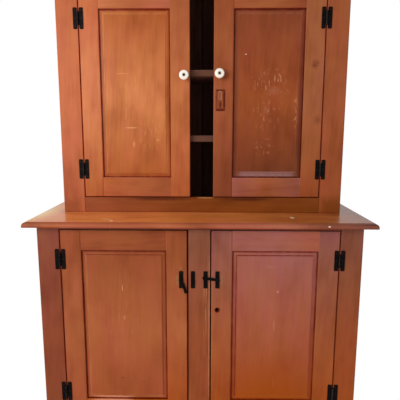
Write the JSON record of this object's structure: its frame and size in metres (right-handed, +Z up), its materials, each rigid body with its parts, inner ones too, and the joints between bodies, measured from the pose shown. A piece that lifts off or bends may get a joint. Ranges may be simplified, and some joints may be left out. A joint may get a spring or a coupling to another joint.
{
  "type": "hutch cupboard",
  "caption": "Step-back hutch cupboard with raised-panel doors on surface hinges, a projecting counter, shelves, turning latch levers, porcelain knobs and a cornice.",
  "frame": {"origin": "on the floor, under the middle of the counter's bounding box", "axes": "+Z up, +Y to the back, +X to the right seen from the front"},
  "size_m": [1.3, 0.52, 1.88],
  "materials": {
    "case_wood": "satin",
    "door_wood": "satin",
    "counter_wood": "semi-gloss",
    "inside_wood": "matte",
    "black_iron": "satin",
    "porcelain": "gloss"
  },
  "bodies": {
    "case": {"base_side_left": "case_wood", "base_side_right": "case_wood", "base_bottom_board": "inside_wood", "base_shelf": "inside_wood", "base_back_planks": "inside_wood", "base_stile_left": "case_wood", "base_stile_right": "case_wood", "base_stile_centre": "case_wood", "base_top_rail": "case_wood", "base_bottom_rail": "case_wood", "counter_top": "counter_wood", "upper_side_left": "case_wood", "upper_side_right": "case_wood", "upper_bottom_board": "inside_wood", "upper_top_board": "inside_wood", "upper_high_shelf": "inside_wood", "upper_low_shelf": "inside_wood", "upper_back_planks": "inside_wood", "upper_stile_left": "case_wood", "upper_stile_right": "case_wood", "upper_frieze_rail": "case_wood", "upper_bottom_rail": "case_wood", "cornice_front": "case_wood", "cornice_returns": "case_wood", "hinge_case_leaves": "black_iron", "hinge_pins": "black_iron", "case_screws": "black_iron", "latch_keepers": "black_iron"},
    "upper_left_door": {"upper_left_hinge_stile": "door_wood", "upper_left_latch_stile": "door_wood", "upper_left_rails": "door_wood", "upper_left_panel": "door_wood", "upper_left_hinge_leaves": "black_iron", "upper_left_screws": "black_iron", "upper_left_knob": "porcelain"},
    "upper_right_door": {"upper_right_hinge_stile": "door_wood", "upper_right_latch_stile": "door_wood", "upper_right_rails": "door_wood", "upper_right_panel": "door_wood", "upper_right_hinge_leaves": "black_iron", "upper_right_screws": "black_iron", "upper_right_knob": "porcelain", "upper_right_lock_patch": "door_wood"},
    "base_left_door": {"base_left_hinge_stile": "door_wood", "base_left_latch_stile": "door_wood", "base_left_rails": "door_wood", "base_left_panel": "door_wood", "base_left_hinge_leaves": "black_iron", "base_left_screws": "black_iron", "base_left_latch_plate": "black_iron"},
    "base_right_door": {"base_right_hinge_stile": "door_wood", "base_right_latch_stile": "door_wood", "base_right_rails": "door_wood", "base_right_panel": "door_wood", "base_right_hinge_leaves": "black_iron", "base_right_screws": "black_iron", "base_right_latch_plate": "black_iron"},
    "left_latch_lever": {"base_left_lever": "black_iron"},
    "right_latch_lever": {"base_right_lever": "black_iron"}
  },
  "joints": [
    {"name": "upper_left_door_hinge", "type": "hinge", "parent": "case", "child": "upper_left_door", "pos_m": [-0.4685, -0.0545, 1.3805], "axis": [0, 0, -1], "range_deg": [0, 175]},
    {"name": "upper_right_door_hinge", "type": "hinge", "parent": "case", "child": "upper_right_door", "pos_m": [0.4805, -0.0545, 1.3805], "axis": [0, 0, 1], "range_deg": [0, 175]},
    {"name": "base_left_door_hinge", "type": "hinge", "parent": "case", "child": "base_left_door", "pos_m": [-0.525, -0.2245, 0.494], "axis": [0, 0, -1], "range_deg": [0, 175]},
    {"name": "base_right_door_hinge", "type": "hinge", "parent": "case", "child": "base_right_door", "pos_m": [0.525, -0.2245, 0.494], "axis": [0, 0, 1], "range_deg": [0, 175]},
    {"name": "left_latch_turn", "type": "hinge", "parent": "base_left_door", "child": "left_latch_lever", "pos_m": [-0.0687, -0.2242, 0.688], "axis": [0, 1, 0], "range_deg": [-40, 291]},
    {"name": "right_latch_turn", "type": "hinge", "parent": "base_right_door", "child": "right_latch_lever", "pos_m": [0.0687, -0.2242, 0.688], "axis": [0, 1, 0], "range_deg": [-9, 322]}
  ]
}
